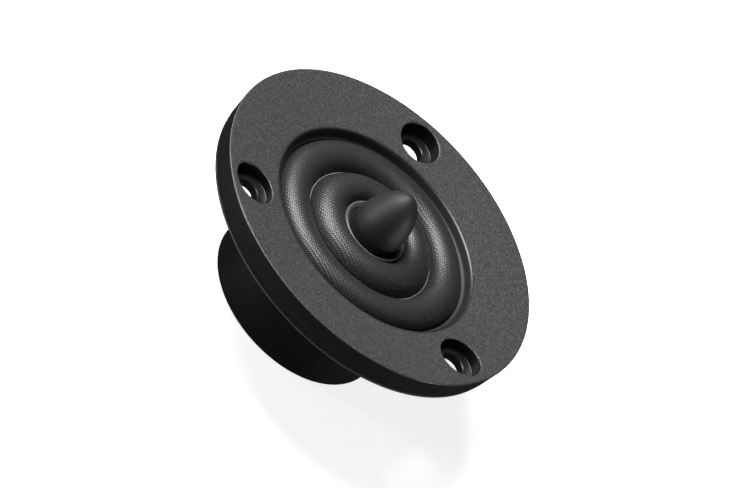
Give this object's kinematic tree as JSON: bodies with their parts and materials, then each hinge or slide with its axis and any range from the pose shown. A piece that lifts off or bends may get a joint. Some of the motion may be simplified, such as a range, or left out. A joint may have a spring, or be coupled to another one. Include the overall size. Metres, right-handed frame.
{
  "type": "car tweeter",
  "caption": "Flush-mount car tweeter: dished round face plate with screw holes, double-roll fabric diaphragm round a pointed phase plug, short cylindrical motor can behind.",
  "frame": {"origin": "centre of the can's flat rear face, the lowest point on the axis", "axes": "+Z along the acoustic axis towards the listener; one screw hole at -Y, the terminals at +Y"},
  "size_m": [0.066, 0.066, 0.0334],
  "materials": {
    "grained_plastic": "fine moulded grain, charcoal black",
    "foam": "closed-cell foam",
    "satin_plastic": "smooth satin",
    "ring_plastic": "gloss with bright edges",
    "moulded_plastic": "as moulded",
    "coated_fabric": "fine coated weave",
    "former_foil": "rolled foil",
    "copper": "enamelled or plain copper",
    "felt": "pressed wool felt",
    "zinc_steel": "zinc plated",
    "nickel_plate": "nickel plated",
    "can_paint": "smooth semi-gloss black",
    "black_screw": "black oxide",
    "laminate": "paper laminate",
    "tinned_brass": "tin plated"
  },
  "bodies": {
    "chassis": {"face_plate": "grained_plastic", "flange_gasket": "foam", "phase_plug": "satin_plastic", "plug_ring": "ring_plastic", "diaphragm": "coated_fabric", "inner_pedestal": "moulded_plastic", "pole_felt": "felt", "shorting_sleeve": "copper", "pole_washer": "zinc_steel", "magnet": "nickel_plate", "yoke_cup": "zinc_steel", "chassis_ring": "moulded_plastic", "surround_felt": "felt", "rear_can": "can_paint", "chamber_felt": "felt", "centre_bolt": "zinc_steel", "chassis_screw_1": "black_screw", "chassis_screw_2": "black_screw", "chassis_screw_3": "black_screw", "chassis_screw_4": "black_screw", "terminal_board": "laminate", "terminal_positive": "tinned_brass", "terminal_negative": "tinned_brass", "rivet_positive": "tinned_brass", "rivet_negative": "tinned_brass", "lead_wire_positive": "copper", "lead_wire_negative": "copper"},
    "voice_coil": {"coil_former": "former_foil", "coil_winding": "copper"}
  },
  "joints": [
    {"name": "coil_travel", "type": "slide", "parent": "chassis", "child": "voice_coil", "axis": [0, 0, 1], "range_m": [-0.0005, 0.0005], "stiffness_N_per_m": 300, "deforming": ["diaphragm"]}
  ]
}
